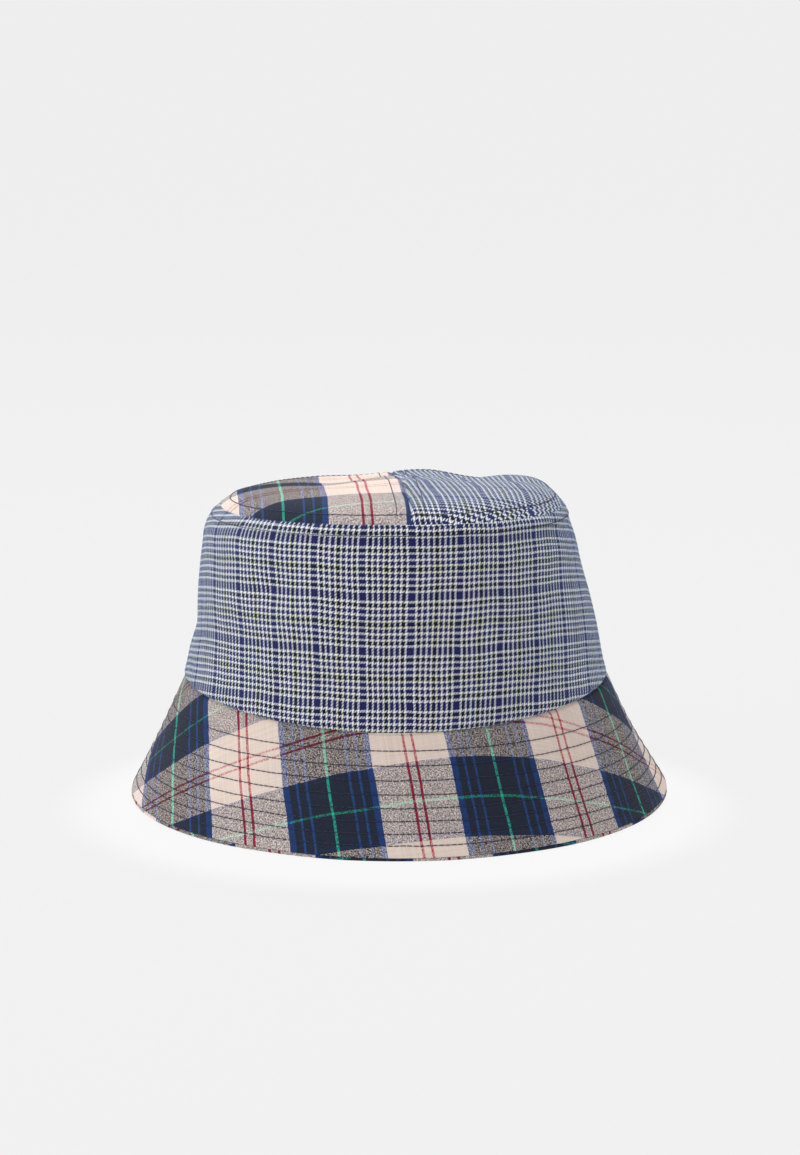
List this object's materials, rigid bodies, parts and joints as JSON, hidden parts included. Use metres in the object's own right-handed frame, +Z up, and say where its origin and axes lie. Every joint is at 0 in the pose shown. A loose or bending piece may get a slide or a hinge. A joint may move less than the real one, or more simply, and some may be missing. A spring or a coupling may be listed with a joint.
{
  "type": "bucket hat",
  "caption": "Lined cotton bucket hat with a domed tip, a tapered crown and a sloping brim with stitched rows; plaid and small-check cloth in contrasting panels.",
  "frame": {"origin": "on the hat's axis, in the plane that the rim rests on", "axes": "+Z up through the middle of the tip; -Y is the front of the hat; side seams at +X and -X"},
  "size_m": [0.2416, 0.2416, 0.1444],
  "materials": {
    "check_cotton": "soft matt yarn-dyed twill in a small navy, white and purple check",
    "plaid_cotton": "soft matt yarn-dyed plain weave in a large navy, cream and red plaid",
    "lining_cotton": "matt plain-weave navy lining",
    "sweatband_twill": "matt twill tape",
    "interlining": "stiff matt canvas",
    "sewing_thread": "twisted polyester thread, slight sheen",
    "woven_label": "blank damask woven tape, slight sheen",
    "satin_tape": "blank satin tape, soft sheen"
  },
  "bodies": {
    "hat": {"crown_tip_plaid_half": "plaid_cotton", "crown_tip_check_half": "check_cotton", "crown_side_front": "check_cotton", "crown_side_back": "check_cotton", "brim_upper_front": "plaid_cotton", "brim_upper_back": "plaid_cotton", "brim_interlining_front": "interlining", "brim_interlining_back": "interlining", "brim_under_front": "plaid_cotton", "brim_under_back": "plaid_cotton", "lining_tip": "lining_cotton", "lining_side_front": "lining_cotton", "lining_side_back": "lining_cotton", "sweatband": "sweatband_twill", "brim_row_stitching": "sewing_thread", "brim_row_bobbin_thread": "sewing_thread", "tip_edge_stitching": "sewing_thread", "tip_seam_stitching": "sewing_thread", "side_top_stitching": "sewing_thread", "sweatband_stitching": "sewing_thread", "woven_label": "woven_label", "woven_label_stitching": "sewing_thread"},
    "care_label": {"care_label": "satin_tape"}
  },
  "joints": [
    {"name": "care_label_swing", "type": "hinge", "parent": "hat", "child": "care_label", "pos_m": [0.07364, 0, 0.131], "axis": [0, 1, 0], "range_deg": [-10, 95]}
  ]
}
